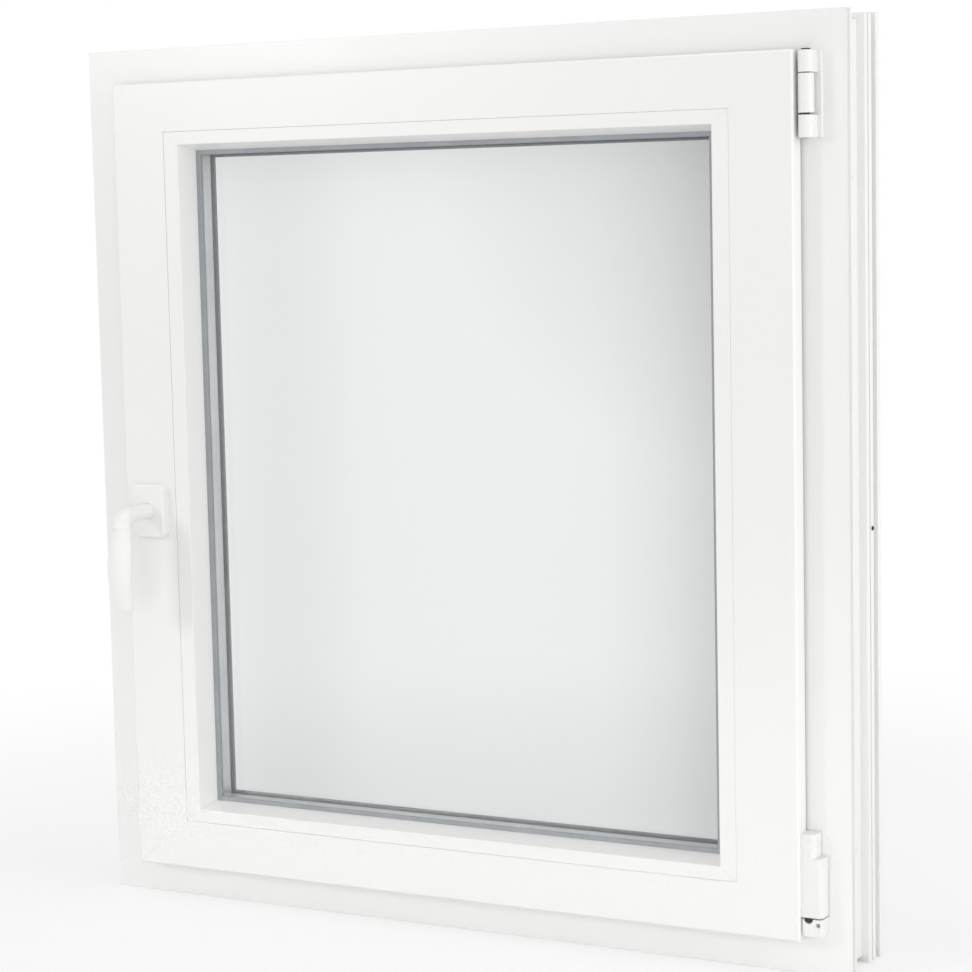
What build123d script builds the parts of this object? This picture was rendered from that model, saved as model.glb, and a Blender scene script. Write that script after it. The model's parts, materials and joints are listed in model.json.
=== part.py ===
from build123d import *
import math
import os

# Tilt-and-turn window in white plastic profiles, seen from the room along +Y.
# X runs across the window, Z up it, and Y from the room to the outdoors.
# An outline is a list of (inward, depth) pairs: inward from the ring's outer edge,
# and depth from the outer frame's room face, which is negative towards the room.

# Whole window over the outer frame
frame_width = 890.0
frame_height = 950.0
frame_depth = 90.0
seat_depth = 9.0  # from the room face to the middle of the foot that the window rests on

# Outer frame profile; the uprights are wider than the rails by the spread
frame_spread = 1.16
frame_room_leg = 49.0
frame_outdoor_leg = 70.0
frame_leg_thickness = 22.0
frame_slope = 7.0
striker_channel = 3.0
striker_channel_start = 5.0
striker_channel_end = 31.0
foot_thickness = 12.0
foot_groove_start = 1.0
foot_groove_end = 8.0
foot_groove = 2.5
clip_recess = 8.0
clip_band = 21.0
clip_band_setback = 1.5
clip_groove = 2.5
clip_groove_width = 3.0
clip_gap = 7.0
rear_foot_thickness = 9.0
frame_arris = 1.5

# Sash profile
sash_spread = 1.24
sash_inset_rail = 38.0
sash_inset_stile = 46.5
sash_proud = 24.0
seal_gap = 4.0
stop_gap = 4.6
sash_lip = 21.0
sash_face = 53.5
rebate_floor = 57.0
sash_outdoor_leg = 72.0
sash_outdoor_flat = 59.0
sash_slope_depth = 25.0
sash_arris = 2.5
gear_groove_start = 8.0
gear_groove_width = 16.0
gear_groove_step = 2.5
gear_slot_width = 12.0
gear_slot_depth = 7.5
back_bevel = 3.0

# Glazing
bead_face = 14.5
bead_slope = 6.0
bead_joint = 0.7
glass_depth = 4.0  # the inner pane's room face
pane_thickness = 4.0
cavity = 16.0
gasket_thickness = 3.0
gasket_lip = 4.5
gasket_bite = 6.0
gasket_round = 1.0
edge_cover = 16.0
spacer_height = 8.0
spacer_lip_inset = 0.5
block_length = 100.0
block_inset = 60.0

# Seals between the sash and the outer frame
room_seal_start = 2.5
room_seal_width = 5.0
stop_seal_start = 22.0
stop_seal_width = 4.5

# Fixing holes through the jambs
fixing_radius = 3.5
fixing_depth = 36.0
fixing_from_foot = 119.0
fixing_from_head = 161.0

# Handle on the left stile
handle_from_edge = 82.0
handle_height = 442.0
rosette_width = 43.0
rosette_height = 59.0
rosette_thickness = 11.0
rosette_corner = 7.0
rosette_arris = 3.0
bush_radius = 9.0
running_clearance = 0.05
neck_width = 19.0
neck_height = 17.0
elbow_radius = 14.0
elbow_stations = 4
grip_reach = 60.0  # from the sash face to the grip's middle
grip_length = 91.0
grip_top_width = 24.0
grip_wide = 31.0
grip_end_width = 23.0
grip_top_thickness = 16.0
grip_end_thickness = 11.5
grip_bow = 6.0
grip_round = 3.0
spindle_side = 7.0
spindle_length = 30.0
spindle_hole_radius = 6.0

# Top hinge, in the gap beside the sash's upper right corner
knuckle_radius = 7.8
knuckle_gap = 2.2
knuckle_axis_depth = -14.0
top_hinge_from_head = 39.0
upper_knuckle_height = 21.0
upper_knuckle_gap = 1.0
sash_knuckle_height = 37.5
lower_knuckle_gap = 2.0
lower_knuckle_height = 21.5
hinge_plate_thickness = 3.0
hinge_plate_reach = 12.5
hinge_plate_round = 2.0
hinge_pin_radius = 3.0
pin_head_radius = 4.5
pin_head_height = 1.5
lug_thickness = 5.0

# Bottom hinge, in the gap beside the sash's lower right corner
cover_low = 62.5
cover_height = 84.0
cover_width = 22.0
cover_neck_width = 15.0
cover_neck_height = 24.0
cover_setback = 5.0  # the covers' front lies behind the sash's by this much
cover_stand_off = 0.8
cover_round = 5.0
bearing_low = 43.5
bearing_height = 17.5
bearing_clear = 1.0
bearing_round = 4.0
bearing_scoop = 4.5
adjuster_radius = 2.2
adjuster_from_sash = 17.5
adjuster_height = 55.5
adjuster_sink = 3.0
bottom_pin_bite = 25.0
collar_radius = 5.0

# Lock hardware between the sash and the left jamb
faceplate_thickness = 2.4
faceplate_margin = 60.0
striker_length = 42.0
striker_base = 4.0
striker_reach = 14.0
striker_margin = 1.0
striker_from_end = 150.0
cam_radius = 4.5
cam_clearance = 1.2
cam_reach = 8.0

# Drain covers on the outdoor side of the sill
drain_length = 42.0
drain_height = 12.0
drain_thickness = 5.0
drain_from_end = 190.0
drain_level = 22.0

room_face = -seat_depth
half_width = frame_width / 2
frame_edges = (-half_width, half_width, 0.0, frame_height)


def inset(edges, side_inset, rail_inset):
    # a rectangle's edges (left, right, bottom, top) moved inward
    left, right, bottom, top = edges
    return (left + side_inset, right - side_inset, bottom + rail_inset, top - rail_inset)


sash_edges = inset(frame_edges, sash_inset_stile, sash_inset_rail)
sash_left, sash_right, sash_bottom, sash_top = sash_edges
sash_front = -sash_proud
frame_stop_depth = frame_depth - frame_leg_thickness
sash_back = frame_stop_depth - stop_gap
bead_inner = sash_face + bead_face + bead_slope
sight = bead_inner + gasket_lip
glass_back = glass_depth + 2 * pane_thickness + cavity
bead_back = glass_depth - gasket_thickness
outer_seat = glass_back + gasket_thickness


def in_sash(inward):
    # the rectangle at a distance inside the sash's outer edge
    return inset(sash_edges, inward * sash_spread, inward)


def closed_face(points):
    return make_face(Polyline(*points, close=True).edges())


def block(x_range, depth_range, z_range):
    # a box between two X values, two depths and two heights
    size = [abs(pair[1] - pair[0]) for pair in (x_range, depth_range, z_range)]
    middle = [sum(pair) / 2 for pair in (x_range, depth_range, z_range)]
    return Pos(middle[0], room_face + middle[1], middle[2]) * Box(*size)


def upright_rod(x, depth, low, height, radius):
    return Pos(x, room_face + depth, low + height / 2) * Cylinder(radius, height)


def level_rod(x, z, depth_start, depth_end, radius):
    # a round rod that runs from the room towards the outdoors
    rod = Rot(90, 0, 0) * Cylinder(radius, depth_end - depth_start)
    return Pos(x, room_face + (depth_start + depth_end) / 2, z) * rod


# Mitred rings

def place_outline(side, edges, outline, spread):
    # puts an outline where one side of a ring starts
    left, right, bottom, top = edges
    placed = []
    for inward, depth in outline:
        y = room_face + depth
        if side == "top":
            placed.append((left, y, top - inward))
        elif side == "bottom":
            placed.append((left, y, bottom + inward))
        elif side == "left":
            placed.append((left + spread * inward, y, bottom))
        else:
            placed.append((right - spread * inward, y, bottom))
    return placed


def mitre_wedge(side, edges, reach, spread):
    # the part of the window that belongs to one side, between its two mitres
    left, right, bottom, top = edges
    inner = inset(edges, spread * reach, reach)
    outer_corners = {
        "top": ((left, top), (right, top)),
        "right": ((right, top), (right, bottom)),
        "bottom": ((right, bottom), (left, bottom)),
        "left": ((left, bottom), (left, top)),
    }[side]
    pick_x = {left: inner[0], right: inner[1]}
    pick_z = {bottom: inner[2], top: inner[3]}
    inner_corners = [(pick_x[x], pick_z[z]) for x, z in reversed(outer_corners)]
    y_start = room_face - frame_depth
    points = [(x, y_start, z) for x, z in [*outer_corners, *inner_corners]]
    return extrude(closed_face(points), 3 * frame_depth, dir=(0, 1, 0))


def is_on(edge, point, run):
    # whether a long edge of a bar passes through a point of its outline
    middle = edge.center()
    across = abs(middle.X - point[0]) if run == Axis.Z else abs(middle.Z - point[2])
    return across < 0.01 and abs(middle.Y - point[1]) < 0.01


def member(side, edges, outline, spread, rounds=None):
    # one mitred side of a ring; rounds maps a point's place in the outline to a radius
    left, right, bottom, top = edges
    level = side in ("top", "bottom")
    run = Axis.X if level else Axis.Z
    length = right - left if level else top - bottom
    points = place_outline(side, edges, outline, spread)
    bar = extrude(closed_face(points), length, dir=run.direction)
    for place, radius in (rounds or {}).items():
        arris = [e for e in bar.edges().filter_by(run) if is_on(e, points[place], run)]
        bar = fillet(arris, radius)
    reach = max(inward for inward, depth in outline) + 1.0
    return bar & mitre_wedge(side, edges, reach, spread)


def flat_ring(outer, inner, depth_start, depth_end):
    # a rectangular ring of even thickness, without mitres
    body = block(outer[0:2], (depth_start, depth_end), outer[2:4])
    window = block(inner[0:2], (depth_start - 1.0, depth_end + 1.0), inner[2:4])
    return body - window


# Outer frame

def frame_outline():
    rear_foot_start = frame_depth - rear_foot_thickness
    band_end = rear_foot_start - clip_gap
    band_start = band_end - clip_band
    band_middle = (band_start + band_end) / 2
    return [
        (0.0, 0.0),
        (frame_room_leg, 0.0),
        (frame_room_leg, striker_channel_start),
        (frame_room_leg - striker_channel, striker_channel_start),
        (frame_room_leg - striker_channel, striker_channel_end),
        (frame_room_leg, striker_channel_end + striker_channel),
        (frame_room_leg, frame_stop_depth),
        (frame_outdoor_leg, frame_stop_depth),
        (frame_outdoor_leg, frame_depth - frame_slope),
        (frame_outdoor_leg - frame_slope, frame_depth),
        (0.0, frame_depth),
        (0.0, rear_foot_start),
        (clip_recess, rear_foot_start),
        (clip_recess, band_end),
        (clip_band_setback, band_end),
        (clip_band_setback, band_middle + clip_groove_width / 2),
        (clip_band_setback + clip_groove, band_middle + clip_groove_width / 2),
        (clip_band_setback + clip_groove, band_middle - clip_groove_width / 2),
        (clip_band_setback, band_middle - clip_groove_width / 2),
        (clip_band_setback, band_start),
        (clip_recess, band_start),
        (clip_recess, foot_thickness),
        (0.0, foot_thickness),
        (0.0, foot_groove_end),
        (foot_groove, foot_groove_end),
        (foot_groove, foot_groove_start),
        (0.0, foot_groove_start),
    ]


def frame_member(side):
    return member(side, frame_edges, frame_outline(), frame_spread, {1: frame_arris})


def drilled_jamb(side):
    # a jamb with its two fixing holes through to the rebate
    jamb = frame_member(side)
    x = -half_width if side == "left" else half_width
    drill = Rot(0, 90, 0) * Cylinder(fixing_radius, 4 * frame_room_leg)
    for z in (fixing_from_foot, frame_height - fixing_from_head):
        jamb -= Pos(x, room_face + fixing_depth, z) * drill
    return jamb


def drain_cover(direction):
    # a hooded cover that is open below, on the outdoor face of the sill
    x = direction * (half_width - drain_from_end)
    x_range = (x - drain_length / 2, x + drain_length / 2)
    z_range = (drain_level, drain_level + drain_height)
    hood = block(x_range, (frame_depth, frame_depth + drain_thickness), z_range)
    front = hood.faces().sort_by(Axis.Y)[-1]
    hood = fillet(front.edges(), drain_thickness / 2)
    wall = drain_thickness / 3
    hollow_x = (x_range[0] + wall, x_range[1] - wall)
    hollow_depth = (frame_depth, frame_depth + drain_thickness - wall)
    return hood - block(hollow_x, hollow_depth, (drain_level - 1.0, z_range[1] - wall))


# Sash

def sash_outline():
    slot_start = gear_groove_start + (gear_groove_width - gear_slot_width) / 2
    slot_end = slot_start + gear_slot_width
    step = sash_lip + gear_groove_step
    slot_floor = step + gear_slot_depth
    return [
        (0.0, sash_front),
        (sash_face, sash_front),
        (sash_face, bead_back),
        (rebate_floor, bead_back),
        (rebate_floor, outer_seat),
        (sash_outdoor_leg, outer_seat),
        (sash_outdoor_leg, sash_back - sash_slope_depth),
        (sash_outdoor_flat, sash_back),
        (sash_lip + back_bevel, sash_back),
        (sash_lip, sash_back - back_bevel),
        (sash_lip, gear_groove_start + gear_groove_width),
        (step, gear_groove_start + gear_groove_width),
        (step, slot_end),
        (slot_floor, slot_end),
        (slot_floor, slot_start),
        (step, slot_start),
        (step, gear_groove_start),
        (sash_lip, gear_groove_start),
        (sash_lip, -seal_gap),
        (0.0, -seal_gap),
    ]


def sash_member(side):
    return member(side, sash_edges, sash_outline(), sash_spread, {0: sash_arris})


def left_stile():
    # the stile with the hole that the handle's spindle turns in
    x = handle_from_edge - half_width
    spindle_end = sash_front + spindle_length
    hole = level_rod(x, handle_height, sash_front - 1.0, spindle_end, spindle_hole_radius)
    return sash_member("left") - hole


# Glazing

def bead_outline():
    return [
        (0.0, sash_front + bead_joint),
        (bead_joint, sash_front),
        (bead_face, sash_front),
        (bead_face + bead_slope, bead_back),
        (0.0, bead_back),
    ]


def bead(side):
    return member(side, in_sash(sash_face), bead_outline(), sash_spread, {2: 1.0})


def glass_pane(depth):
    edges = inset(in_sash(sight), -edge_cover, -edge_cover)
    return block(edges[0:2], (depth, depth + pane_thickness), edges[2:4])


def glazing_gasket(depth, bite, round_side):
    # a ring with a soft lip that shows beside the bead or the outdoor leg
    outer = in_sash(bead_inner - bite)
    ring = flat_ring(outer, in_sash(sight), depth, depth + gasket_thickness)
    face = ring.faces().sort_by(Axis.Y)[round_side]
    lip = face.inner_wires()[0].edges()
    return fillet(lip, gasket_round)


def spacer():
    inner = inset(in_sash(sight), -spacer_lip_inset, -spacer_lip_inset)
    outer = inset(inner, -spacer_height, -spacer_height)
    start = glass_depth + pane_thickness
    return flat_ring(outer, inner, start, start + cavity)


def edge_seal():
    inner_offset = spacer_lip_inset + spacer_height
    inner = inset(in_sash(sight), -inner_offset, -inner_offset)
    outer = inset(in_sash(sight), -edge_cover, -edge_cover)
    start = glass_depth + pane_thickness
    return flat_ring(outer, inner, start, start + cavity)


def glazing_blocks():
    # packers between the glass edge and the rebate floor, near the corners
    glass = inset(in_sash(sight), -edge_cover, -edge_cover)
    floor = in_sash(rebate_floor)
    depths = (glass_depth, glass_back)
    pieces = []
    for start in (glass[0] + block_inset, glass[1] - block_inset - block_length):
        run = (start, start + block_length)
        pieces.append(block(run, depths, (floor[2], glass[2])))
        pieces.append(block(run, depths, (glass[3], floor[3])))
    for start in (glass[2] + block_inset, glass[3] - block_inset - block_length):
        run = (start, start + block_length)
        pieces.append(block((floor[0], glass[0]), depths, run))
        pieces.append(block((glass[1], floor[1]), depths, run))
    return Compound(children=pieces)


# Seals

def sash_seal(start, width, depth_start, depth_end):
    return flat_ring(in_sash(start), in_sash(start + width), depth_start, depth_end)


# Handle

handle_x = handle_from_edge - half_width
rosette_front = sash_front - rosette_thickness
neck_drop = handle_height - elbow_radius


def handle_rosette():
    size = (rosette_width, rosette_height, rosette_thickness)
    plate = Box(*size)
    plate = fillet(plate.edges().filter_by(Axis.Z), rosette_corner)
    plate = fillet(plate.faces().sort_by(Axis.Z)[-1].edges(), rosette_arris)
    middle = room_face + sash_front - rosette_thickness / 2
    plate = Pos(handle_x, middle, handle_height) * (Rot(90, 0, 0) * plate)
    hole_radius = bush_radius + running_clearance
    hole = level_rod(handle_x, handle_height, rosette_front - 1.0, sash_front + 1.0, hole_radius)
    return plate - hole


def neck_section(plane, width, height):
    return plane * Ellipse(width / 2, height / 2)


def handle_neck():
    # a bush in the rosette, then a neck that turns down into the grip
    bush_start = sash_front - 2.0
    bush = level_rod(handle_x, handle_height, rosette_front - 1.5, bush_start, bush_radius)
    start = Vector(handle_x, room_face + rosette_front - 1.5, handle_height)
    turn_y = room_face + sash_front - grip_reach + elbow_radius
    plane = Plane(origin=start, x_dir=(1, 0, 0), z_dir=(0, -1, 0))
    shank = extrude(neck_section(plane, neck_width, neck_height), start.Y - turn_y)
    # the neck widens on its way round the elbow
    sections = []
    for station in range(elbow_stations):
        share = station / (elbow_stations - 1)
        angle = math.radians(90 * share)
        y = turn_y - elbow_radius * math.sin(angle)
        z = neck_drop + elbow_radius * math.cos(angle)
        heading = (0, -math.cos(angle), -math.sin(angle))
        plane = Plane(origin=(handle_x, y, z), x_dir=(1, 0, 0), z_dir=heading)
        width = neck_width + share * (grip_top_width - neck_width)
        sections.append(neck_section(plane, width, neck_height))
    return bush + shank + loft(sections)


def handle_grip():
    # a tapered grip, bowed a little away from the sash, with a rounded end
    stations = [
        (0.0, grip_top_width, neck_height, 0.0),
        (0.15, (grip_top_width + grip_wide) / 2, grip_top_thickness, 0.35),
        (0.5, grip_wide, grip_top_thickness, 1.0),
        (0.8, grip_wide - 3.0, (grip_top_thickness + grip_end_thickness) / 2, 0.6),
        (1.0, grip_end_width, grip_end_thickness, -0.2),
    ]
    sections = []
    for share, width, thickness, bow in stations:
        y = room_face + sash_front - grip_reach - bow * grip_bow
        origin = (handle_x, y, neck_drop - share * grip_length)
        plane = Plane(origin=origin, x_dir=(1, 0, 0), z_dir=(0, 0, -1))
        sections.append(neck_section(plane, width, thickness))
    grip = loft(sections)
    end_edges = grip.faces().sort_by(Axis.Z)[0].edges()
    return fillet(end_edges, grip_round)


def handle_spindle():
    start = sash_front - 2.0
    end = sash_front + spindle_length - 5.0
    half = spindle_side / 2
    x_range = (handle_x - half, handle_x + half)
    return block(x_range, (start, end), (handle_height - half, handle_height + half))


# Top hinge

hinge_x = sash_right + knuckle_gap + knuckle_radius
top_hinge_high = frame_height - top_hinge_from_head
upper_knuckle_low = top_hinge_high - upper_knuckle_height
sash_knuckle_low = upper_knuckle_low - upper_knuckle_gap - sash_knuckle_height
top_hinge_low = sash_knuckle_low - lower_knuckle_gap - lower_knuckle_height


def knuckle(low, height, bore_radius):
    barrel = upright_rod(hinge_x, knuckle_axis_depth, low, height, knuckle_radius)
    return barrel - upright_rod(hinge_x, knuckle_axis_depth, low - 1.0, height + 2.0, bore_radius)


def frame_knuckle(low, height):
    # a barrel on a foot that stands on the hinge plate
    foot_x = (hinge_x - knuckle_radius * 0.5, hinge_x + knuckle_radius)
    foot = block(foot_x, (knuckle_axis_depth, -hinge_plate_thickness), (low, low + height))
    barrel = upright_rod(hinge_x, knuckle_axis_depth, low, height, knuckle_radius)
    bore_radius = hinge_pin_radius + running_clearance
    bore = upright_rod(hinge_x, knuckle_axis_depth, low - 1.0, height + 2.0, bore_radius)
    return barrel + foot - bore


def top_hinge_plate():
    # a thin plate behind the knuckles with a rounded outer arris
    heights = (top_hinge_low, top_hinge_high)
    outer = hinge_x + hinge_plate_reach
    plate = block((hinge_x - knuckle_radius * 0.5, outer), (-hinge_plate_thickness, 0.0), heights)
    outer_face = plate.faces().sort_by(Axis.X)[-1]
    arris = outer_face.edges().filter_by(Axis.Z).sort_by(Axis.Y)[0:1]
    return fillet(arris, hinge_plate_round)


def top_hinge_sash_knuckle():
    # the barrel between the other two, with a lug against the sash's edge
    high = sash_knuckle_low + sash_knuckle_height
    lug_end = -seal_gap - 0.5
    lug_depths = (lug_end - lug_thickness, lug_end)
    lug = block((sash_right, hinge_x), lug_depths, (sash_knuckle_low, high))
    bore_radius = hinge_pin_radius + running_clearance
    barrel = knuckle(sash_knuckle_low, sash_knuckle_height, bore_radius)
    bore = upright_rod(hinge_x, knuckle_axis_depth, sash_knuckle_low, sash_knuckle_height, bore_radius)
    return barrel + (lug - bore)


def top_hinge_pin():
    length = top_hinge_high - top_hinge_low
    shaft = upright_rod(hinge_x, knuckle_axis_depth, top_hinge_low, length, hinge_pin_radius)
    head = upright_rod(hinge_x, knuckle_axis_depth, top_hinge_high, pin_head_height, pin_head_radius)
    return shaft + head


# Bottom hinge

bottom_pin_x = sash_right + cover_neck_width / 2
cover_front = sash_front + cover_setback


def bottom_hinge_cover():
    # a cover that follows the sash's edge, narrower over its upper end
    high = cover_low + cover_height
    depths = (cover_front, -cover_stand_off)
    broad_top = high - cover_neck_height
    broad = block((sash_right, sash_right + cover_width), depths, (cover_low, broad_top))
    front_arris = broad.edges().filter_by(Axis.Z).group_by(Axis.X)[-1].sort_by(Axis.Y)[0:1]
    broad = fillet(front_arris, cover_round)
    neck = block((sash_right, sash_right + cover_neck_width), depths, (broad_top, high))
    neck_arris = neck.edges().filter_by(Axis.Z).group_by(Axis.X)[-1].sort_by(Axis.Y)[0:1]
    neck = fillet(neck_arris, cover_round)
    radius = hinge_pin_radius + running_clearance
    bore = upright_rod(bottom_pin_x, knuckle_axis_depth, cover_low - 1.0, bottom_pin_bite + 1.0, radius)
    return broad + neck - bore


def bottom_hinge_bearing():
    # a block on the frame that the pin stands in, scooped out in front of the pin,
    # with a hole for the adjuster
    x_range = (sash_right + bearing_clear, sash_right + cover_width)
    high = bearing_low + bearing_height
    bearing = block(x_range, (cover_front, 0.0), (bearing_low, high))
    arris = bearing.edges().filter_by(Axis.Z).group_by(Axis.X)[-1].sort_by(Axis.Y)[0:1]
    bearing = fillet(arris, bearing_round)
    half = bearing_height / 2
    bearing -= upright_rod(bottom_pin_x, knuckle_axis_depth, high - half, half + 1.0, hinge_pin_radius)
    scoop_end = knuckle_axis_depth - hinge_pin_radius + running_clearance
    bearing -= level_rod(bottom_pin_x, high, cover_front - 1.0, scoop_end, bearing_scoop)
    x = sash_right + adjuster_from_sash
    return bearing - level_rod(x, adjuster_height, sash_front, -4.0, adjuster_radius)


def bottom_hinge_pin():
    high = bearing_low + bearing_height
    half = bearing_height / 2
    length = half + (cover_low - high) + bottom_pin_bite - 1.0
    shaft = upright_rod(bottom_pin_x, knuckle_axis_depth, high - half, length, hinge_pin_radius)
    collar = upright_rod(bottom_pin_x, knuckle_axis_depth, high, cover_low - high - 1.0, collar_radius)
    return shaft + collar


def bottom_hinge_adjuster():
    x = sash_right + adjuster_from_sash
    radius = adjuster_radius - running_clearance
    head = cover_front + adjuster_sink
    screw = level_rod(x, adjuster_height, head, -4.0, radius)
    socket = Rot(90, 0, 0) * extrude(RegularPolygon(radius * 0.55, 6), 3.0, both=True)
    return screw - Pos(x, room_face + head, adjuster_height) * socket


# Lock hardware in the rebate

def lock_faceplate():
    # a strip in the left stile's groove, with two cams that reach towards the strikers
    groove_x = sash_left + sash_spread * sash_lip
    floor_x = sash_left + sash_spread * (sash_lip + gear_groove_step)
    depths = (gear_groove_start, gear_groove_start + gear_groove_width)
    low = sash_bottom + faceplate_margin
    high = sash_top - faceplate_margin
    strip = block((floor_x - faceplate_thickness, floor_x), depths, (low, high))
    middle = (depths[0] + depths[1]) / 2
    for z in striker_levels():
        cam = Rot(0, 90, 0) * Cylinder(cam_radius, cam_reach)
        x = floor_x - faceplate_thickness - cam_reach / 2
        strip += Pos(x, room_face + middle, z) * cam
    return strip


def striker_levels():
    return (sash_bottom + striker_from_end, sash_top - striker_from_end)


def striker(z):
    # a keeper in the jamb's channel, with a slot that the cam slides along
    floor = -half_width + frame_spread * (frame_room_leg - striker_channel)
    depths = (striker_channel_start + striker_margin, striker_channel_end - striker_margin)
    z_range = (z - striker_length / 2, z + striker_length / 2)
    keeper = block((floor, floor + striker_reach), depths, z_range)
    cam_depth = gear_groove_start + gear_groove_width / 2
    half_slot = cam_radius + cam_clearance
    slot_x = (floor + striker_base, floor + striker_reach + 1.0)
    slot_z = (z_range[0] - 1.0, z_range[1] + 1.0)
    return keeper - block(slot_x, (cam_depth - half_slot, cam_depth + half_slot), slot_z)


parts = {
    "frame_head": frame_member("top"),
    "frame_sill": frame_member("bottom"),
    "frame_left_jamb": drilled_jamb("left"),
    "frame_right_jamb": drilled_jamb("right"),
    "drain_cover_left": drain_cover(-1),
    "drain_cover_right": drain_cover(1),
    "sash_top_rail": sash_member("top"),
    "sash_bottom_rail": sash_member("bottom"),
    "sash_left_stile": left_stile(),
    "sash_right_stile": sash_member("right"),
    "bead_top": bead("top"),
    "bead_bottom": bead("bottom"),
    "bead_left": bead("left"),
    "bead_right": bead("right"),
    "glass_inner_pane": glass_pane(glass_depth),
    "glass_outer_pane": glass_pane(glass_depth + pane_thickness + cavity),
    "spacer_bar": spacer(),
    "edge_seal": edge_seal(),
    "glazing_blocks": glazing_blocks(),
    "room_glazing_gasket": glazing_gasket(bead_back, gasket_bite, 0),
    "outdoor_glazing_gasket": glazing_gasket(glass_back, gasket_bite, -1),
    "room_seal": sash_seal(room_seal_start, room_seal_width, -seal_gap, 0.0),
    "stop_seal": sash_seal(stop_seal_start, stop_seal_width, sash_back, frame_stop_depth),
    "handle_rosette": handle_rosette(),
    "handle_neck": handle_neck(),
    "handle_grip": handle_grip(),
    "handle_spindle": handle_spindle(),
    "top_hinge_plate": top_hinge_plate(),
    "top_hinge_upper_knuckle": frame_knuckle(upper_knuckle_low, upper_knuckle_height),
    "top_hinge_lower_knuckle": frame_knuckle(top_hinge_low, lower_knuckle_height),
    "top_hinge_sash_knuckle": top_hinge_sash_knuckle(),
    "top_hinge_pin": top_hinge_pin(),
    "bottom_hinge_cover": bottom_hinge_cover(),
    "bottom_hinge_bearing": bottom_hinge_bearing(),
    "bottom_hinge_pin": bottom_hinge_pin(),
    "bottom_hinge_adjuster": bottom_hinge_adjuster(),
    "lock_faceplate": lock_faceplate(),
    "lower_striker": striker(striker_levels()[0]),
    "upper_striker": striker(striker_levels()[1]),
}

os.makedirs("parts", exist_ok=True)
for name, shape in parts.items():
    export_step(shape, f"parts/{name}.step")
print(len(parts), "sub-parts written")
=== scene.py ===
import bmesh
import bpy
import json
import math
from mathutils import Matrix, Vector


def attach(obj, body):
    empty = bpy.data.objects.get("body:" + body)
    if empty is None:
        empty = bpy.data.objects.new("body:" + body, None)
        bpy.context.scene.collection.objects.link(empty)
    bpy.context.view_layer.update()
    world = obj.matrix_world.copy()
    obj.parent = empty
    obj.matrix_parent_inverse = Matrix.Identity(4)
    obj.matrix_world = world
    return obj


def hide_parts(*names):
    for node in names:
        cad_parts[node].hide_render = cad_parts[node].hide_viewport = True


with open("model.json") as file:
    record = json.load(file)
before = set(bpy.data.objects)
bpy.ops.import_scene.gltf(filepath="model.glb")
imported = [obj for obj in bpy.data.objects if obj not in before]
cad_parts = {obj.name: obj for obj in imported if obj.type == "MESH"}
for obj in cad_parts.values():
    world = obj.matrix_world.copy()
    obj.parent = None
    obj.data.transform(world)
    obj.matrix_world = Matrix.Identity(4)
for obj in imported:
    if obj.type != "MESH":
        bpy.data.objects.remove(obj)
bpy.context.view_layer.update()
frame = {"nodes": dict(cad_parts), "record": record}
nodes = frame["nodes"]
scene = bpy.context.scene


# View and light

viewPoint = {
    "place": (1.2718, -2.3135, 0.7618),
    "turnDegrees": 28.027,
    "tiltDegrees": 6.179,
    "rollDegrees": -1.255,
    "lens": 93.032,
    "sensor": 36.0,
    "clipEnd": 60.0,
}

daylight = {
    "level": 0.64,
    "tint": (1.0, 1.0, 1.0),
}

softboxes = {
    "key": {  # upper left of the window, casts the handle's shadow
        "from": (-1.82, -2.55, 1.44),
        "aim": (-0.1, 0.0, 0.44),
        "size": (0.55, 0.55),
        "spreadDegrees": 180,
        "power": 14.5,
        "tint": (1.0, 0.985, 0.94),
    },
    "side": {  # lights the right jamb's outer side
        "from": (2.9, -0.45, 1.0),
        "aim": (0.0, 0.0, 0.42),
        "size": (2.0, 2.0),
        "spreadDegrees": 180,
        "power": 26.0,
        "tint": (1.0, 0.998, 0.98),
    },
    "low": {  # lifts the right-hand half
        "from": (1.1, -2.7, 0.18),
        "aim": (0.0, 0.0, 0.42),
        "size": (1.8, 1.8),
        "spreadDegrees": 180,
        "power": 14.5,
        "tint": (0.985, 0.995, 1.0),
    },
    "sill": {  # a long gridded strip for the foot of the window
        "from": (0.35, -2.6, 0.22),
        "aim": (0.0, 0.0, 0.02),
        "size": (1.8, 0.25),
        "spreadDegrees": 24,
        "power": 0.36,
        "tint": (1.0, 0.995, 0.985),
    },
    "top": {  # falls on the slope of the lower bead
        "from": (0.1, -0.2, 2.4),
        "aim": (0.0, -0.1, 0.0),
        "size": (1.2, 0.5),
        "spreadDegrees": 180,
        "power": 6.5,
        "tint": (1.0, 1.0, 1.0),
    },
}

studio = {
    "floorColour": (0.93, 0.93, 0.93),
    "shadowShare": 0.36,  # how much of the paper shows near the window
    "shadowReach": (0.55, 1.7),
    "floorHalf": 9.0,
    "floorDrop": 0.0004,
}


def newMaterial(name):
    material = bpy.data.materials.new(name)
    material.use_nodes = True
    material.node_tree.nodes.clear()
    return material, material.node_tree.nodes, material.node_tree.links


def placeCamera(values):
    data = bpy.data.cameras.new("photoCamera")
    data.sensor_width = values["sensor"]
    data.lens = values["lens"]
    data.clip_end = values["clipEnd"]
    camera = bpy.data.objects.new("photoCamera", data)
    turn = Matrix.Rotation(math.radians(values["turnDegrees"]), 4, "Z")
    tilt = Matrix.Rotation(math.radians(90 - values["tiltDegrees"]), 4, "X")
    roll = Matrix.Rotation(math.radians(values["rollDegrees"]), 4, "Z")
    camera.matrix_world = Matrix.Translation(values["place"]) @ turn @ tilt @ roll
    scene.collection.objects.link(camera)
    scene.camera = camera


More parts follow.
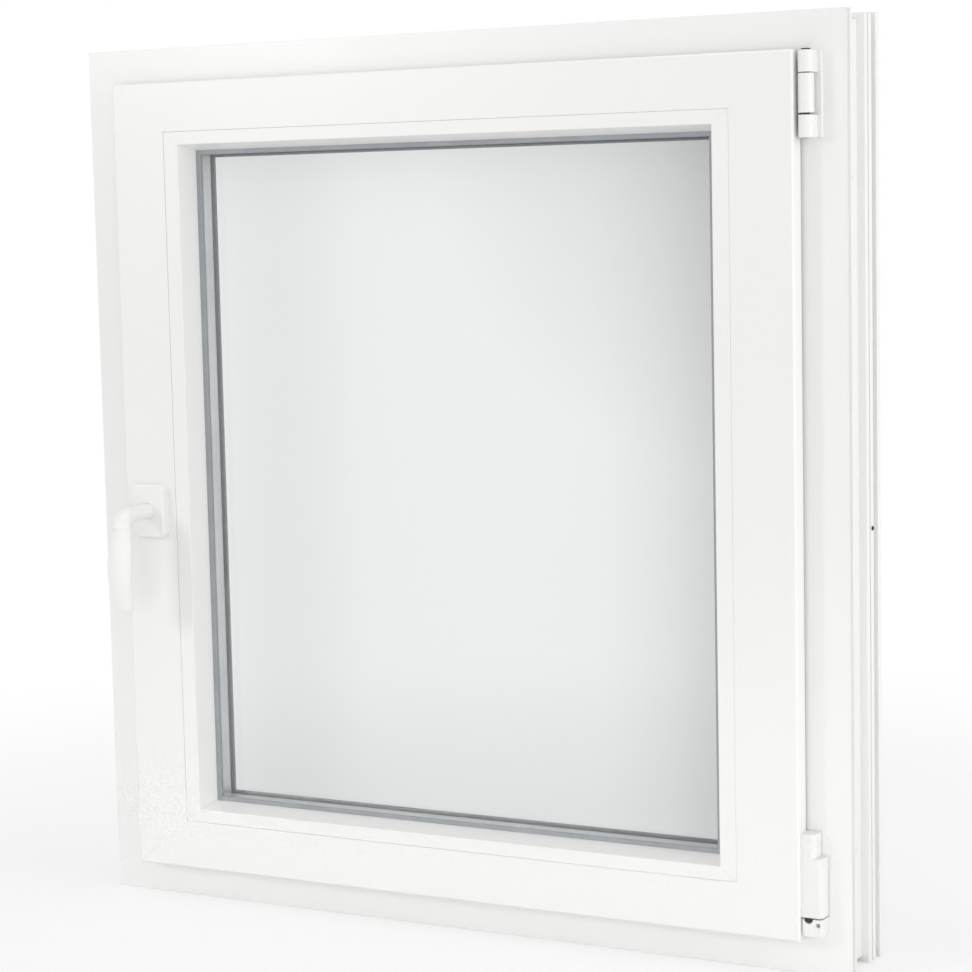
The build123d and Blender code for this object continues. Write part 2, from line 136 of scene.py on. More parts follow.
def placeSoftbox(name, values):
    data = bpy.data.lights.new(name + "Softbox", "AREA")
    data.shape = "RECTANGLE"
    data.size, data.size_y = values["size"]
    data.spread = math.radians(values["spreadDegrees"])
    data.energy = values["power"]
    data.color = values["tint"]
    lamp = bpy.data.objects.new(name + "Softbox", data)
    place = Vector(values["from"])
    direction = Vector(values["aim"]) - place
    turned = direction.to_track_quat("-Z", "Y").to_matrix().to_4x4()
    lamp.matrix_world = Matrix.Translation(place) @ turned
    lamp.visible_camera = False  # no bright rectangle behind the glass, seen from outdoors
    lamp.visible_transmission = False
    scene.collection.objects.link(lamp)


def largerOf(tree, links, first, second):
    larger = tree.new("ShaderNodeMath")
    larger.operation = "MAXIMUM"
    links.new(first, larger.inputs[0])
    links.new(second, larger.inputs[1])
    return larger.outputs[0]


def directSight(tree, links):
    # true for rays that show the background: from the camera, mirrored or through the glass
    path = tree.new("ShaderNodeLightPath")
    seen = largerOf(tree, links, path.outputs["Is Camera Ray"], path.outputs["Is Glossy Ray"])
    return largerOf(tree, links, seen, path.outputs["Is Transmission Ray"])


def lightWorld(values):
    world = bpy.data.worlds.new("studioWorld")
    world.use_nodes = True
    tree = world.node_tree.nodes
    links = world.node_tree.links
    tree.clear()
    ambient = tree.new("ShaderNodeBackground")
    ambient.inputs["Color"].default_value = (*values["tint"], 1.0)
    ambient.inputs["Strength"].default_value = values["level"]
    white = tree.new("ShaderNodeBackground")
    white.inputs["Color"].default_value = (1.0, 1.0, 1.0, 1.0)
    white.inputs["Strength"].default_value = 1.0
    mix = tree.new("ShaderNodeMixShader")
    links.new(directSight(tree, links), mix.inputs["Fac"])
    links.new(ambient.outputs[0], mix.inputs[1])
    links.new(white.outputs[0], mix.inputs[2])
    output = tree.new("ShaderNodeOutputWorld")
    links.new(mix.outputs[0], output.inputs["Surface"])
    scene.world = world


def layFloor(values):
    half = values["floorHalf"]
    low = -values["floorDrop"]
    mesh = bpy.data.meshes.new("studioFloor")
    corners = [(-half, -half, low), (half, -half, low), (half, half, low), (-half, half, low)]
    mesh.from_pydata(corners, [], [(0, 1, 2, 3)])
    floor = bpy.data.objects.new("studioFloor", mesh)
    scene.collection.objects.link(floor)
    material, tree, links = newMaterial("studioFloorPaper")
    paper = tree.new("ShaderNodeBsdfDiffuse")
    paper.inputs["Color"].default_value = (*values["floorColour"], 1.0)
    where = tree.new("ShaderNodeTexCoord")
    reach = tree.new("ShaderNodeVectorMath")
    reach.operation = "LENGTH"
    links.new(where.outputs["Object"], reach.inputs[0])
    fade = tree.new("ShaderNodeMapRange")
    fade.interpolation_type = "SMOOTHSTEP"
    fade.inputs["From Min"].default_value = values["shadowReach"][0]
    fade.inputs["From Max"].default_value = values["shadowReach"][1]
    fade.inputs["To Min"].default_value = values["shadowShare"]
    fade.inputs["To Max"].default_value = 0.0
    links.new(reach.outputs["Value"], fade.inputs["Value"])
    white = tree.new("ShaderNodeEmission")
    shown = tree.new("ShaderNodeMixShader")  # paper near the window, white further off
    links.new(fade.outputs["Result"], shown.inputs["Fac"])
    links.new(white.outputs[0], shown.inputs[1])
    links.new(paper.outputs[0], shown.inputs[2])
    swap = tree.new("ShaderNodeMixShader")
    links.new(directSight(tree, links), swap.inputs["Fac"])
    links.new(paper.outputs[0], swap.inputs[1])
    links.new(shown.outputs[0], swap.inputs[2])
    output = tree.new("ShaderNodeOutputMaterial")
    links.new(swap.outputs[0], output.inputs["Surface"])
    mesh.materials.append(material)


scene.view_settings.view_transform = "Standard"
placeCamera(viewPoint)
lightWorld(daylight)
for lampName, lampValues in softboxes.items():
    placeSoftbox(lampName, lampValues)
layFloor(studio)
print("camera, light and floor are in place")


# Finishes

whiteProfile = {
    "colour": (0.868, 0.866, 0.858),
    "shade": (0.848, 0.847, 0.842),
    "edge": (0.885, 0.884, 0.878),
    "cloudScale": 6.0,
    "grainScale": 1100.0,
    "streakShare": 0.35,
    "roughness": (0.27, 0.36),
    "bumpHeight": 0.00001,
    "bumpStrength": 0.15,
    "edgeRadius": 0.0005,
}

whiteCover = {
    "colour": (0.826, 0.824, 0.816),
    "shade": (0.810, 0.808, 0.800),
    "edge": (0.842, 0.840, 0.833),
    "cloudScale": 24.0,
    "grainScale": 2300.0,
    "streakShare": 0.0,
    "roughness": (0.24, 0.34),
    "bumpHeight": 0.000012,
    "bumpStrength": 0.4,
    "edgeRadius": 0.0006,
}

whiteLacquer = {
    "colour": (0.866, 0.864, 0.858),
    "shade": (0.850, 0.849, 0.843),
    "edge": (0.884, 0.883, 0.878),
    "cloudScale": 30.0,
    "grainScale": 1500.0,  # the orange peel of a sprayed coat
    "streakShare": 0.0,
    "roughness": (0.30, 0.40),
    "bumpHeight": 0.00003,
    "bumpStrength": 0.35,
    "edgeRadius": 0.0006,
}

softGasket = {
    "colour": (0.265, 0.280, 0.300),
    "shade": (0.215, 0.228, 0.245),
    "edge": (0.34, 0.355, 0.375),
    "cloudScale": 40.0,
    "grainScale": 1800.0,
    "streakShare": 0.0,
    "roughness": (0.55, 0.75),
    "bumpHeight": 0.00005,
    "bumpStrength": 0.5,
    "edgeRadius": 0.0004,
}

beadGasket = {
    "colour": (0.365, 0.382, 0.405),
    "shade": (0.300, 0.316, 0.338),
    "edge": (0.44, 0.455, 0.475),
    "cloudScale": 40.0,
    "grainScale": 1800.0,
    "streakShare": 0.0,
    "roughness": (0.50, 0.70),
    "bumpHeight": 0.00005,
    "bumpStrength": 0.5,
    "edgeRadius": 0.0004,
}

darkSealant = {
    "colour": (0.075, 0.080, 0.085),
    "shade": (0.050, 0.053, 0.058),
    "edge": (0.11, 0.115, 0.12),
    "cloudScale": 60.0,
    "grainScale": 900.0,
    "streakShare": 0.0,
    "roughness": (0.6, 0.8),
    "bumpHeight": 0.0002,
    "bumpStrength": 0.6,
    "edgeRadius": 0.0003,
}

packerPlastic = {
    "colour": (0.075, 0.12, 0.25),
    "shade": (0.06, 0.10, 0.21),
    "edge": (0.14, 0.19, 0.33),
    "cloudScale": 50.0,
    "grainScale": 2000.0,
    "streakShare": 0.0,
    "roughness": (0.45, 0.6),
    "bumpHeight": 0.00003,
    "bumpStrength": 0.4,
    "edgeRadius": 0.0004,
}

millAluminium = {
    "colour": (0.82, 0.83, 0.84),
    "shade": (0.74, 0.75, 0.77),
    "edge": (0.88, 0.89, 0.90),
    "metallic": 0.85,
    "cloudScale": 25.0,
    "grainScale": 1400.0,
    "streakShare": 0.6,
    "roughness": (0.38, 0.52),
    "bumpHeight": 0.00002,
    "bumpStrength": 0.3,
    "edgeRadius": 0.0003,
}

zincSteel = {
    "colour": (0.60, 0.60, 0.58),
    "shade": (0.46, 0.46, 0.45),
    "edge": (0.72, 0.72, 0.70),
    "metallic": 1.0,
    "cloudScale": 180.0,
    "grainScale": 1600.0,
    "streakShare": 0.2,
    "roughness": (0.28, 0.46),
    "bumpHeight": 0.00003,
    "bumpStrength": 0.35,
    "edgeRadius": 0.0003,
}

darkFitting = {
    "colour": (0.022, 0.022, 0.024),
    "shade": (0.014, 0.014, 0.016),
    "edge": (0.05, 0.05, 0.052),
    "cloudScale": 300.0,
    "grainScale": 3000.0,
    "streakShare": 0.0,
    "roughness": (0.4, 0.55),
    "bumpHeight": 0.00002,
    "bumpStrength": 0.4,
    "edgeRadius": 0.0002,
}

weldedProfile = {**whiteProfile, "edgeRadius": 0.00002}  # the seams are too thin for a rounded arris

surfaceNoise = {
    "cloudRange": (0.15, 0.85),  # the part of the clouds' noise that is spread over the tones
    "arrisRange": (0.995, 0.8),  # agreement of the rounded normal with the flat one
    "cloudDetail": 4.0,
    "streakDetail": 3.0,
    "grainDetail": 2.0,
    "arrisSamples": 3,
}

floatGlass = {
    "tint": (0.972, 0.985, 0.982),
    "roughness": 0.015,
    "ior": 1.5,
    "halfWidth": 0.31,
    "lowEdge": 0.11,
    "highEdge": 0.84,
    # painted reflection: grey levels in the pane's colour that stand in for reflections, as (place,
    # level), from left to right and from low to high
    "across": (
        (0.0, 0.96), (0.07, 0.905), (0.2, 0.9), (0.32, 0.945),
        (0.76, 0.95), (0.9, 0.895), (1.0, 0.79),
    ),
    "upward": ((0.0, 0.975), (0.12, 0.99), (0.84, 1.0), (0.94, 0.985), (1.0, 0.91)),
    "corner": (0.31, 0.0, 0.84),  # the painted reflection is darkest near the upper right corner
    "reflectionCornerReach": 0.34,
    "reflectionCornerLevel": 0.90,
    "rippleScale": 4.0,
    "rippleDetail": 2.0,
    "rippleStrength": 0.05,
    "rippleHeight": 0.0005,
}

streakAlong = {  # scales of the extrusion's fine lines
    "level": (3.0, 260.0, 260.0),
    "upright": (260.0, 260.0, 3.0),
    "none": (120.0, 120.0, 120.0),
}


def noiseField(tree, links, vector, scale, detail):
    noise = tree.new("ShaderNodeTexNoise")
    noise.inputs["Scale"].default_value = scale
    noise.inputs["Detail"].default_value = detail
    links.new(vector, noise.inputs["Vector"])
    return noise.outputs["Fac"]


def blendTones(tree, links, share, first, second, kind="MIX"):
    blend = tree.new("ShaderNodeMixRGB")
    blend.blend_type = kind
    if isinstance(share, float):
        blend.inputs["Fac"].default_value = share
    else:
        links.new(share, blend.inputs["Fac"])
    for socket, tone in (("Color1", first), ("Color2", second)):
        if isinstance(tone, tuple):
            blend.inputs[socket].default_value = (*tone, 1.0)
        else:
            links.new(tone, blend.inputs[socket])
    return blend.outputs["Color"]


def spreadValue(tree, links, value, fromRange, toRange):
    spread = tree.new("ShaderNodeMapRange")
    spread.inputs["From Min"].default_value = fromRange[0]
    spread.inputs["From Max"].default_value = fromRange[1]
    spread.inputs["To Min"].default_value = toRange[0]
    spread.inputs["To Max"].default_value = toRange[1]
    links.new(value, spread.inputs["Value"])
    return spread.outputs["Result"]


def mouldedFinish(name, values, along="none"):
    material, tree, links = newMaterial(name)
    shader = tree.new("ShaderNodeBsdfPrincipled")
    shader.inputs["Metallic"].default_value = values.get("metallic", 0.0)
    where = tree.new("ShaderNodeTexCoord").outputs["Object"]
    stretch = tree.new("ShaderNodeMapping")
    stretch.inputs["Scale"].default_value = streakAlong[along]
    links.new(where, stretch.inputs["Vector"])
    streak = noiseField(tree, links, stretch.outputs["Vector"], 1.0, surfaceNoise["streakDetail"])
    cloud = noiseField(tree, links, where, values["cloudScale"], surfaceNoise["cloudDetail"])
    grain = noiseField(tree, links, where, values["grainScale"], surfaceNoise["grainDetail"])
    # soft clouds of the second tone, then a lighter, worn look on the arrises
    softCloud = spreadValue(tree, links, cloud, surfaceNoise["cloudRange"], (0.0, 1.0))
    tone = blendTones(tree, links, softCloud, values["colour"], values["shade"])
    rounded = tree.new("ShaderNodeBevel")
    rounded.samples = surfaceNoise["arrisSamples"]
    rounded.inputs["Radius"].default_value = values["edgeRadius"]
    facing = tree.new("ShaderNodeNewGeometry")
    agree = tree.new("ShaderNodeVectorMath")
    agree.operation = "DOT_PRODUCT"
    links.new(rounded.outputs["Normal"], agree.inputs[0])
    links.new(facing.outputs["Normal"], agree.inputs[1])
    arris = spreadValue(tree, links, agree.outputs["Value"], surfaceNoise["arrisRange"], (0.0, 1.0))
    tone = blendTones(tree, links, arris, tone, values["edge"])
    links.new(tone, shader.inputs["Base Color"])
    gloss = spreadValue(tree, links, cloud, surfaceNoise["cloudRange"], values["roughness"])
    links.new(gloss, shader.inputs["Roughness"])
    height = tree.new("ShaderNodeMix")
    height.inputs[0].default_value = values["streakShare"]
    links.new(grain, height.inputs[2])
    links.new(streak, height.inputs[3])
    bump = tree.new("ShaderNodeBump")
    bump.inputs["Strength"].default_value = values["bumpStrength"]
    bump.inputs["Distance"].default_value = values["bumpHeight"]
    links.new(height.outputs[0], bump.inputs["Height"])
    links.new(rounded.outputs["Normal"], bump.inputs["Normal"])
    links.new(bump.outputs["Normal"], shader.inputs["Normal"])
    output = tree.new("ShaderNodeOutputMaterial")
    links.new(shader.outputs[0], output.inputs["Surface"])
    return material


def toneRamp(tree, links, value, stops):
    ramp = tree.new("ShaderNodeValToRGB")
    ramp.color_ramp.interpolation = "B_SPLINE"
    first, last = ramp.color_ramp.elements
    first.position, last.position = stops[0][0], stops[-1][0]
    first.color = (*[stops[0][1]] * 3, 1.0)
    last.color = (*[stops[-1][1]] * 3, 1.0)
    for position, level in stops[1:-1]:
        ramp.color_ramp.elements.new(position).color = (level, level, level, 1.0)
    links.new(value, ramp.inputs["Fac"])
    return ramp.outputs["Color"]


def glassFinish(name, values):
    material, tree, links = newMaterial(name)
    where = tree.new("ShaderNodeTexCoord")
    split = tree.new("ShaderNodeSeparateXYZ")
    links.new(where.outputs["Object"], split.inputs[0])
    half = values["halfWidth"]
    across = spreadValue(tree, links, split.outputs["X"], (-half, half), (0.0, 1.0))
    rise = (values["lowEdge"], values["highEdge"])
    upward = spreadValue(tree, links, split.outputs["Z"], rise, (0.0, 1.0))
    # painted reflection: a soft grey in the pane's colour that stands in for reflections, stronger near
    # the edges and in one corner
    paintedReflectionAcross = toneRamp(tree, links, across, values["across"])
    paintedReflectionUpward = toneRamp(tree, links, upward, values["upward"])
    paintedReflectionAndTint = blendTones(tree, links, 1.0, paintedReflectionAcross, paintedReflectionUpward, "MULTIPLY")
    away = tree.new("ShaderNodeVectorMath")
    away.operation = "DISTANCE"
    away.inputs[1].default_value = values["corner"]
    links.new(where.outputs["Object"], away.inputs[0])
    reach, levels = (0.0, values["reflectionCornerReach"]), (values["reflectionCornerLevel"], 1.0)
    corner = spreadValue(tree, links, away.outputs["Value"], reach, levels)
    paintedReflectionAndTint = blendTones(tree, links, 1.0, paintedReflectionAndTint, corner, "MULTIPLY")
    # the glass's own tint, multiplied into the painted reflection
    paintedReflectionAndTint = blendTones(tree, links, 1.0, paintedReflectionAndTint, values["tint"], "MULTIPLY")
    shader = tree.new("ShaderNodeBsdfPrincipled")
    shader.inputs["Roughness"].default_value = values["roughness"]
    shader.inputs["Transmission Weight"].default_value = 1.0
    shader.inputs["IOR"].default_value = values["ior"]
    links.new(paintedReflectionAndTint, shader.inputs["Base Color"])
    scale, detail = values["rippleScale"], values["rippleDetail"]
    ripple = noiseField(tree, links, where.outputs["Object"], scale, detail)
    bump = tree.new("ShaderNodeBump")
    bump.inputs["Strength"].default_value = values["rippleStrength"]
    bump.inputs["Distance"].default_value = values["rippleHeight"]
    links.new(ripple, bump.inputs["Height"])
    links.new(bump.outputs["Normal"], shader.inputs["Normal"])
    # daylight passes on to the reveal instead of stopping at the pane
    clear = tree.new("ShaderNodeBsdfTransparent")
    path = tree.new("ShaderNodeLightPath")
    passing = largerOf(tree, links, path.outputs["Is Shadow Ray"], path.outputs["Is Diffuse Ray"])
    mix = tree.new("ShaderNodeMixShader")
    links.new(passing, mix.inputs["Fac"])
    links.new(shader.outputs[0], mix.inputs[1])
    links.new(clear.outputs[0], mix.inputs[2])
    output = tree.new("ShaderNodeOutputMaterial")
    links.new(mix.outputs[0], output.inputs["Surface"])
    return material


finishes = {
    "levelProfile": mouldedFinish("whiteProfileLevel", whiteProfile, "level"),
    "uprightProfile": mouldedFinish("whiteProfileUpright", whiteProfile, "upright"),
    "weldSeam": mouldedFinish("whiteWeldSeam", weldedProfile),
    "glass": glassFinish("floatGlass", floatGlass),
    "spacer": mouldedFinish("millAluminium", millAluminium),
    "dark_sealant": mouldedFinish("darkSealant", darkSealant),
    "packer_plastic": mouldedFinish("packerPlastic", packerPlastic),
    "grey_gasket": mouldedFinish("softGasket", softGasket),
    "beadGasket": mouldedFinish("beadGasket", beadGasket),
    "white_lacquer": mouldedFinish("whiteLacquer", whiteLacquer),
    "white_cover": mouldedFinish("whiteCover", whiteCover),
    "steel": mouldedFinish("zincSteel", zincSteel),
    "darkFitting": mouldedFinish("darkFitting", darkFitting),
}
uprightNodes = ("jamb", "stile", "bead_left", "bead_right")
ownFinishes = {
    "room_glazing_gasket": "beadGasket",
    "top_hinge_pin": "darkFitting",
    "bottom_hinge_pin": "darkFitting",
}


def finishFor(node, slotName):
    if node in ownFinishes:
        return finishes[ownFinishes[node]]
    if slotName != "white_plastic":
        return finishes[slotName]
    upright = any(word in node for word in uprightNodes)
    return finishes["uprightProfile" if upright else "levelProfile"]


for part in frame["record"]["subparts"]:
    shape = nodes[part["node"]]
    shape.data.materials.clear()
    shape.data.materials.append(finishFor(part["node"], part["material_slot"]))
print("finishes are on the solids")


# Trees that grow the small repeated pieces

treeDetail = {
    "cordSides": 12,
    "cornerSteps": 4,
    "headSides": 28,
    "crownShare": 0.78,  # top of a screw's head over its foot
    "socketSides": 6,
    "slotSides": 8,
}


def newTree(name, sizes):
    tree = bpy.data.node_groups.new(name, "GeometryNodeTree")
    face = tree.interface
    face.new_socket("Geometry", in_out="INPUT", socket_type="NodeSocketGeometry")
    for label, value in sizes.items():
        face.new_socket(label, in_out="INPUT", socket_type="NodeSocketFloat").default_value = value
    face.new_socket("Material", in_out="INPUT", socket_type="NodeSocketMaterial")
    face.new_socket("Geometry", in_out="OUTPUT", socket_type="NodeSocketGeometry")
    return tree, tree.nodes.new("NodeGroupInput"), tree.nodes.new("NodeGroupOutput")


def endTree(tree, start, end, geometry):
    real = tree.nodes.new("GeometryNodeRealizeInstances")
    tree.links.new(geometry, real.inputs[0])
    coat = tree.nodes.new("GeometryNodeSetMaterial")
    tree.links.new(real.outputs[0], coat.inputs["Geometry"])
    tree.links.new(start.outputs["Material"], coat.inputs["Material"])
    tree.links.new(coat.outputs[0], end.inputs[0])


def vectorOf(tree, x, y, z):
    vector = tree.nodes.new("ShaderNodeCombineXYZ")
    for socket, value in zip(vector.inputs, (x, y, z)):
        if isinstance(value, float):
            socket.default_value = value
        else:
            tree.links.new(value, socket)
    return vector.outputs[0]


def cordTree():
    # a flattened cord along every path of the base mesh, laid at a depth
    sizes = {"Cord Width": 0.002, "Flatness": 1.0, "Depth": 0.0, "Corner Radius": 0.0}
    tree, start, end = newTree("cordOnPlane", sizes)
    links = tree.links
    path = tree.nodes.new("GeometryNodeMeshToCurve")
    links.new(start.outputs["Geometry"], path.inputs["Mesh"])
    corner = tree.nodes.new("GeometryNodeFilletCurve")
    corner.mode = "POLY"
    corner.inputs["Count"].default_value = treeDetail["cornerSteps"]
    links.new(path.outputs[0], corner.inputs["Curve"])
    links.new(start.outputs["Corner Radius"], corner.inputs["Radius"])
    section = tree.nodes.new("GeometryNodeCurvePrimitiveCircle")
    section.inputs["Resolution"].default_value = treeDetail["cordSides"]
    half = tree.nodes.new("ShaderNodeMath")
    half.operation = "MULTIPLY"
    half.inputs[1].default_value = 0.5
    links.new(start.outputs["Cord Width"], half.inputs[0])
    links.new(half.outputs[0], section.inputs["Radius"])
    tube = tree.nodes.new("GeometryNodeCurveToMesh")
    links.new(corner.outputs[0], tube.inputs["Curve"])
    links.new(section.outputs[0], tube.inputs["Profile Curve"])
    tube.inputs["Fill Caps"].default_value = True
    lay = tree.nodes.new("GeometryNodeTransform")
    links.new(tube.outputs[0], lay.inputs["Geometry"])
    links.new(vectorOf(tree, 0.0, start.outputs["Depth"], 0.0), lay.inputs["Translation"])
    links.new(vectorOf(tree, 1.0, start.outputs["Flatness"], 1.0), lay.inputs["Scale"])
    endTree(tree, start, end, lay.outputs[0])
    return tree


def screwTree():
    # a round head with a six-sided socket on every point, turned to its facing
    sizes = {"Head Radius": 0.0023, "Head Height": 0.0009,
             "Socket Radius": 0.0011, "Socket Depth": 0.0006}
    tree, start, end = newTree("socketScrews", sizes)
    links = tree.links
    head = tree.nodes.new("GeometryNodeMeshCone")
    head.inputs["Vertices"].default_value = treeDetail["headSides"]
    links.new(start.outputs["Head Radius"], head.inputs["Radius Bottom"])
    crown = tree.nodes.new("ShaderNodeMath")
    crown.operation = "MULTIPLY"
    crown.inputs[1].default_value = treeDetail["crownShare"]
    links.new(start.outputs["Head Radius"], crown.inputs[0])
    links.new(crown.outputs[0], head.inputs["Radius Top"])
    links.new(start.outputs["Head Height"], head.inputs["Depth"])
    socket = tree.nodes.new("GeometryNodeMeshCylinder")
    socket.inputs["Vertices"].default_value = treeDetail["socketSides"]
    links.new(start.outputs["Socket Radius"], socket.inputs["Radius"])
    tall = tree.nodes.new("ShaderNodeMath")
    tall.operation = "MULTIPLY"
    tall.inputs[1].default_value = 2.0
    links.new(start.outputs["Socket Depth"], tall.inputs[0])
    links.new(tall.outputs[0], socket.inputs["Depth"])
    lift = tree.nodes.new("GeometryNodeTransform")
    links.new(socket.outputs["Mesh"], lift.inputs["Geometry"])
    links.new(vectorOf(tree, 0.0, 0.0, start.outputs["Head Height"]), lift.inputs["Translation"])
    cut = tree.nodes.new("GeometryNodeMeshBoolean")
    cut.operation = "DIFFERENCE"
    links.new(head.outputs["Mesh"], cut.inputs[0])
    links.new(lift.outputs[0], cut.inputs[1])
    facing = tree.nodes.new("GeometryNodeInputNamedAttribute")
    facing.data_type = "FLOAT_VECTOR"
    facing.inputs["Name"].default_value = "facing"
    turn = tree.nodes.new("FunctionNodeAlignRotationToVector")
    turn.axis = "Z"
    links.new(facing.outputs["Attribute"], turn.inputs["Vector"])
    place = tree.nodes.new("GeometryNodeInstanceOnPoints")
    links.new(start.outputs["Geometry"], place.inputs["Points"])
    links.new(cut.outputs[0], place.inputs["Instance"])
    links.new(turn.outputs[0], place.inputs["Rotation"])
    endTree(tree, start, end, place.outputs[0])
    return tree


def ventTree():
    # small flat slots at an even pitch along the paths, each turned along its path
    sizes = {"Pitch": 0.004, "Slot Length": 0.0016, "Slot Width": 0.0005, "Slot Height": 0.0001}
    tree, start, end = newTree("spacerVents", sizes)
    links = tree.links
    path = tree.nodes.new("GeometryNodeMeshToCurve")
    links.new(start.outputs["Geometry"], path.inputs["Mesh"])
    spots = tree.nodes.new("GeometryNodeCurveToPoints")
    spots.mode = "LENGTH"
    links.new(path.outputs[0], spots.inputs["Curve"])
    links.new(start.outputs["Pitch"], spots.inputs["Length"])
    slot = tree.nodes.new("GeometryNodeMeshCylinder")
    slot.inputs["Vertices"].default_value = treeDetail["slotSides"]
    slot.inputs["Radius"].default_value = 0.5
    slot.inputs["Depth"].default_value = 1.0
    place = tree.nodes.new("GeometryNodeInstanceOnPoints")
    links.new(spots.outputs["Points"], place.inputs["Points"])
    links.new(slot.outputs["Mesh"], place.inputs["Instance"])
    turn = tree.nodes.new("FunctionNodeAlignRotationToVector")
    turn.axis = "X"
    links.new(spots.outputs["Tangent"], turn.inputs["Vector"])
    links.new(turn.outputs[0], place.inputs["Rotation"])
    size = vectorOf(tree, *(start.outputs["Slot " + side] for side in ("Length", "Width", "Height")))
    links.new(size, place.inputs["Scale"])
    endTree(tree, start, end, place.outputs[0])
    return tree


def growPiece(name, base, tree, sizes, finish, body, smooth=True):
    piece = bpy.data.objects.new(name, base)
    scene.collection.objects.link(piece)
    growth = piece.modifiers.new("growth", "NODES")
    growth.node_group = tree
    for socket in tree.interface.items_tree:
        if socket.in_out == "INPUT" and socket.name in sizes:
            growth[socket.identifier] = sizes[socket.name]
        if socket.in_out == "INPUT" and socket.name == "Material":
            growth[socket.identifier] = finish
    view = bpy.context.evaluated_depsgraph_get()
    made = bpy.data.meshes.new_from_object(piece.evaluated_get(view))
    piece.modifiers.clear()
    piece.data = made
    made.name = name
    for polygon in made.polygons:
        polygon.use_smooth = smooth
    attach(piece, body)
    return piece


def pathMesh(name, loops, closed, depth=0.0):
    # corners of each path as (x, z) pairs
    points, edges = [], []
    for loop in loops:
        first = len(points)
        points += [(x, depth, z) for x, z in loop]
        edges += [(first + i, first + i + 1) for i in range(len(loop) - 1)]
        if closed:
            edges.append((first + len(loop) - 1, first))
    mesh = bpy.data.meshes.new(name)
    mesh.from_pydata(points, edges, [])
    return mesh


def rectangle(halfWidth, low, high):
    return [(-halfWidth, low), (halfWidth, low), (halfWidth, high), (-halfWidth, high)]


def closeRows(name, made, rows):
    # faces from each row of corners to the next and from the last to the first
    for i, here in enumerate(rows):
        there = rows[(i + 1) % len(rows)]
        for j in range(len(here)):
            k = (j + 1) % len(here)
            made.faces.new((here[j], here[k], there[k], there[j]))
    bmesh.ops.recalc_face_normals(made, faces=made.faces)
    mesh = bpy.data.meshes.new(name)
    made.to_mesh(mesh)
    made.free()
    return mesh


def setPiece(name, mesh, finish):
    piece = bpy.data.objects.new(name, mesh)
    scene.collection.objects.link(piece)
    mesh.materials.append(finish)
    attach(piece, "window")
    return piece


cords = cordTree()
screws = screwTree()
vents = ventTree()


# Soft lips of the glazing gaskets, round cords against the panes

outdoorLip = {
    "halfWidth": 0.2998,
    "low": 0.1179,
    "high": 0.8321,
    "Cord Width": 0.0036,
    "Flatness": 0.72,
    "Depth": 0.0203,
    "Corner Radius": 0.002,
    "finish": "grey_gasket",
}

roomLip = {
    "halfWidth": 0.3014,
    "low": 0.1163,
    "high": 0.8337,
    "Cord Width": 0.0016,
    "Flatness": 1.0,
    "Depth": -0.0061,
    "Corner Radius": 0.0015,
    "finish": "beadGasket",
}

for lipName, lip in (("outdoorGasketLip", outdoorLip), ("roomGasketLip", roomLip)):
    ring = pathMesh(lipName, [rectangle(lip["halfWidth"], lip["low"], lip["high"])], True)
    growPiece(lipName, ring, cords, lip, finishes[lip["finish"]], "window")
print("gasket lips are laid")


# The spacer with its rounded shoulders and two shallow grooves, in place of the plain bar

spacerProfile = {
    "halfWidth": 0.3017,
    "low": 0.116,
    "high": 0.834,
    # distance behind the visible face and depth, all round the section
    "section": (
        # the visible face with its two grooves
        (0.0, 0.0000), (0.0, 0.0026), (0.00025, 0.0029), (0.00025, 0.0033), (0.0, 0.0036),
        (0.0, 0.0104), (0.00025, 0.0107), (0.00025, 0.0111), (0.0, 0.0114), (0.0, 0.0140),
        # the outdoor shoulder and the back
        (0.0002, 0.0146), (0.0007, 0.01492), (0.0052, 0.01492), (0.0064, 0.0140), (0.0079, 0.0112),
        # the room-side shoulder
        (0.0079, 0.0028), (0.0064, 0.0000), (0.0052, -0.00092), (0.0007, -0.00092), (0.0002, -0.0006),
    ),
}


def sectionRing(name, values):
    # the section carried round the four mitred corners
    made = bmesh.new()
    rows = []
    for side, end in ((-1, -1), (1, -1), (1, 1), (-1, 1)):
        edge = values["low"] if end < 0 else values["high"]
        rows.append([made.verts.new((side * (values["halfWidth"] + back), depth, edge + end * back))
                     for back, depth in values["section"]])
    return closeRows(name, made, rows)


spacerRing = sectionRing("spacerProfile", spacerProfile)
spacer = setPiece("spacerProfile", spacerRing, finishes["spacer"])
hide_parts("spacer_bar")
print("spacer is in")


# Scraped weld seams on the corners of the outer frame and the sash

frameWelds = {
    "outer": (0.4434, 0.0016, 0.9484),
    "inner": (0.4005, 0.0370, 0.9130),
    "Cord Width": 0.0014,
    "Flatness": 0.02,
    "Depth": -0.00900,
}

sashWelds = {
    "outer": (0.3958, 0.0405, 0.9095),
    "inner": (0.3330, 0.0912, 0.8588),
    "Cord Width": 0.0014,
    "Flatness": 0.02,
    "Depth": -0.03300,
}


def cornerPaths(outer, inner):
    paths = []
    for side in (-1, 1):
        for end in (1, 2):
            paths.append([(side * outer[0], outer[end]), (side * inner[0], inner[end])])
    return paths


for weldName, weld in (("frameWeldSeams", frameWelds), ("sashWeldSeams", sashWelds)):
    seams = pathMesh(weldName, cornerPaths(weld["outer"], weld["inner"]), False)
    growPiece(weldName, seams, cords, weld, finishes["weldSeam"],
              "window", smooth=False)
print("weld seams are drawn")


# Vent slots along the spacer, on its side towards the cavity: flat dark grey discs that paint the shade
# inside the perforations

spacerVents = {
    "halfWidth": 0.30168,
    "low": 0.11602,
    "high": 0.83398,
    "margin": 0.012,
    "Pitch": 0.0042,
    "Slot Length": 0.0016,
    "Slot Width": 0.00055,
    "Slot Height": 0.00008,
    "cavityMiddle": 0.007,
}


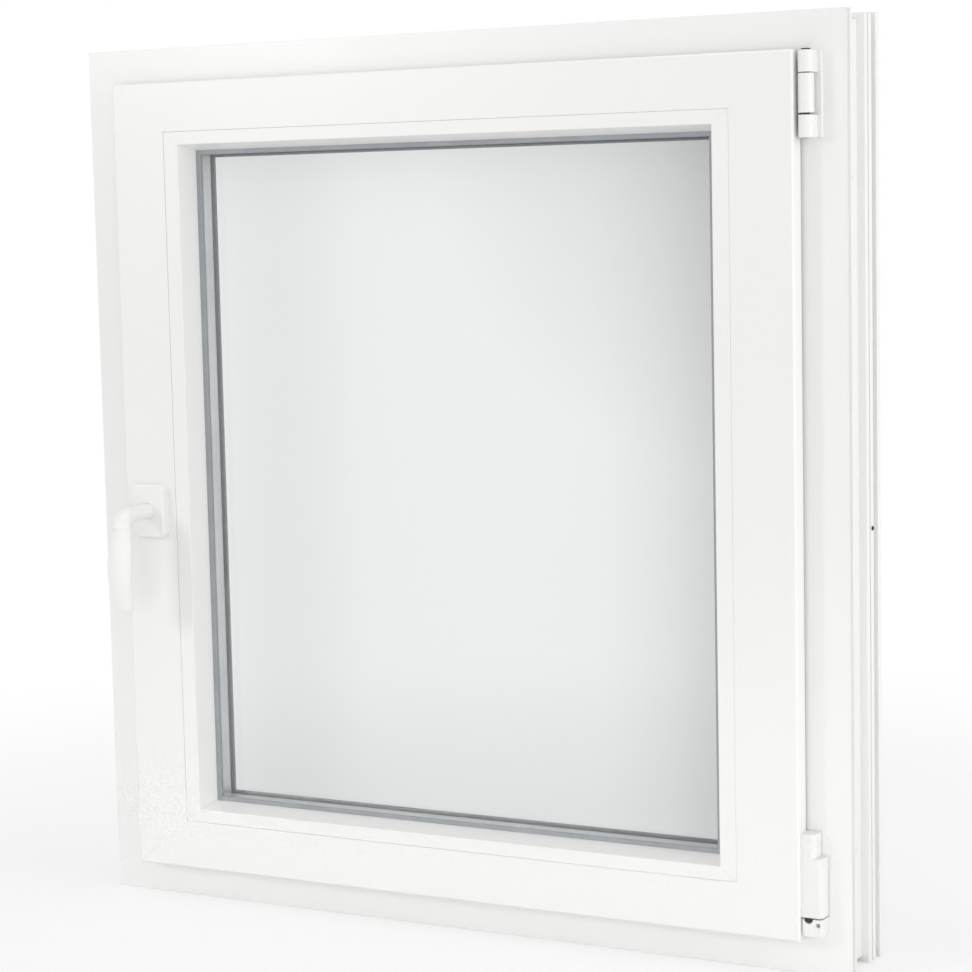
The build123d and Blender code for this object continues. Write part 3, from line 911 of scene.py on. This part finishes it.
def ventPaths(values):
    half, low, high, margin = (values[key] for key in ("halfWidth", "low", "high", "margin"))
    return [
        [(-half + margin, low), (half - margin, low)],
        [(-half + margin, high), (half - margin, high)],
        [(-half, low + margin), (-half, high - margin)],
        [(half, low + margin), (half, high - margin)],
    ]


# the grey gasket finish on these flat slots is painted shade for the dark inside of the perforations
paintedShadeSlots = pathMesh("spacerVents", ventPaths(spacerVents), False, spacerVents["cavityMiddle"])
growPiece("spacerVents", paintedShadeSlots, vents, spacerVents, finishes["grey_gasket"],
          "window", smooth=False)
print("spacer vents are cut")


# Small screws in the jambs' clip bands, at the handle's height

jambScrews = {
    "reach": 0.4435,
    "depth": 0.0605,
    "height": 0.442,
    "Head Radius": 0.0024,
    "Head Height": 0.0010,
    "Socket Radius": 0.0012,
    "Socket Depth": 0.0006,
}


def facingPoints(name, spots):
    mesh = bpy.data.meshes.new(name)
    mesh.from_pydata([place for place, facing in spots], [], [])
    attribute = mesh.attributes.new("facing", "FLOAT_VECTOR", "POINT")
    for i, (place, facing) in enumerate(spots):
        attribute.data[i].vector = facing
    return mesh


screwSpots = []
for side in (-1, 1):
    spot = (side * jambScrews["reach"], jambScrews["depth"], jambScrews["height"])
    screwSpots.append((spot, (side, 0.0, 0.0)))
growPiece("jambScrews", facingPoints("jambScrews", screwSpots), screws, jambScrews,
          finishes["darkFitting"], "window", smooth=False)
print("jamb screws are in")


# Dark sleeve round the lower hinge's pin, between the cover and the bearing

pinSleeve = {
    "place": (0.406, -0.023),
    # radius and height, up the inside and down the outside
    "section": (
        (0.00502, 0.0580), (0.00502, 0.0624), (0.0054, 0.0624),
        (0.0057, 0.0621), (0.0057, 0.0584), (0.0053, 0.0580),
    ),
    "segments": 48,
}


def turnedRing(name, values):
    x, y = values["place"]
    made = bmesh.new()
    rows = []
    for i in range(values["segments"]):
        angle = math.tau * i / values["segments"]
        rows.append([made.verts.new((x + radius * math.cos(angle), y + radius * math.sin(angle), height))
                     for radius, height in values["section"]])
    return closeRows(name, made, rows)


sleeveRing = turnedRing("hingePinSleeve", pinSleeve)
setPiece("hingePinSleeve", sleeveRing, finishes["darkFitting"])
print("pin sleeve is on")
